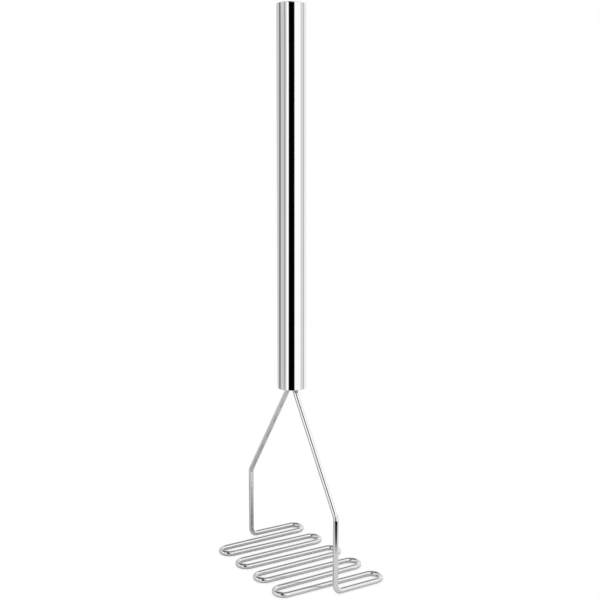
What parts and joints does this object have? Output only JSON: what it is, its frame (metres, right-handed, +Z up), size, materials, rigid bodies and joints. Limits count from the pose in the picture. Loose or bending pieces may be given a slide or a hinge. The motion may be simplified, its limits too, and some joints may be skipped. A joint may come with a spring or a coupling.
{
  "type": "potato masher",
  "caption": "Chrome potato masher: a long round tube handle over one bent wire whose slanting arms carry a flat zigzag mashing face.",
  "frame": {"origin": "on the handle's axis, level with the underside of the mashing face, which is the surface that the masher stands on", "axes": "+Z up along the handle, +X along the lines of the face towards the side where the legs' half lines lie, +Y towards the rear leg"},
  "size_m": [0.0939, 0.1448, 0.465],
  "materials": {
    "handle_chrome": "mirror bright chrome plate on steel tube",
    "cap_chrome": "bright chrome plate on pressed steel",
    "wire_chrome": "bright chrome plate on drawn steel wire",
    "plug_steel": "turned steel under thin plate",
    "weld_steel": "uneven weld under thin plate"
  },
  "bodies": {
    "root": {"handle_tube": "handle_chrome", "top_cap": "cap_chrome", "masher_wire": "wire_chrome", "bottom_plug": "plug_steel", "rear_weld_bead": "weld_steel", "front_weld_bead": "weld_steel"}
  },
  "joints": []
}
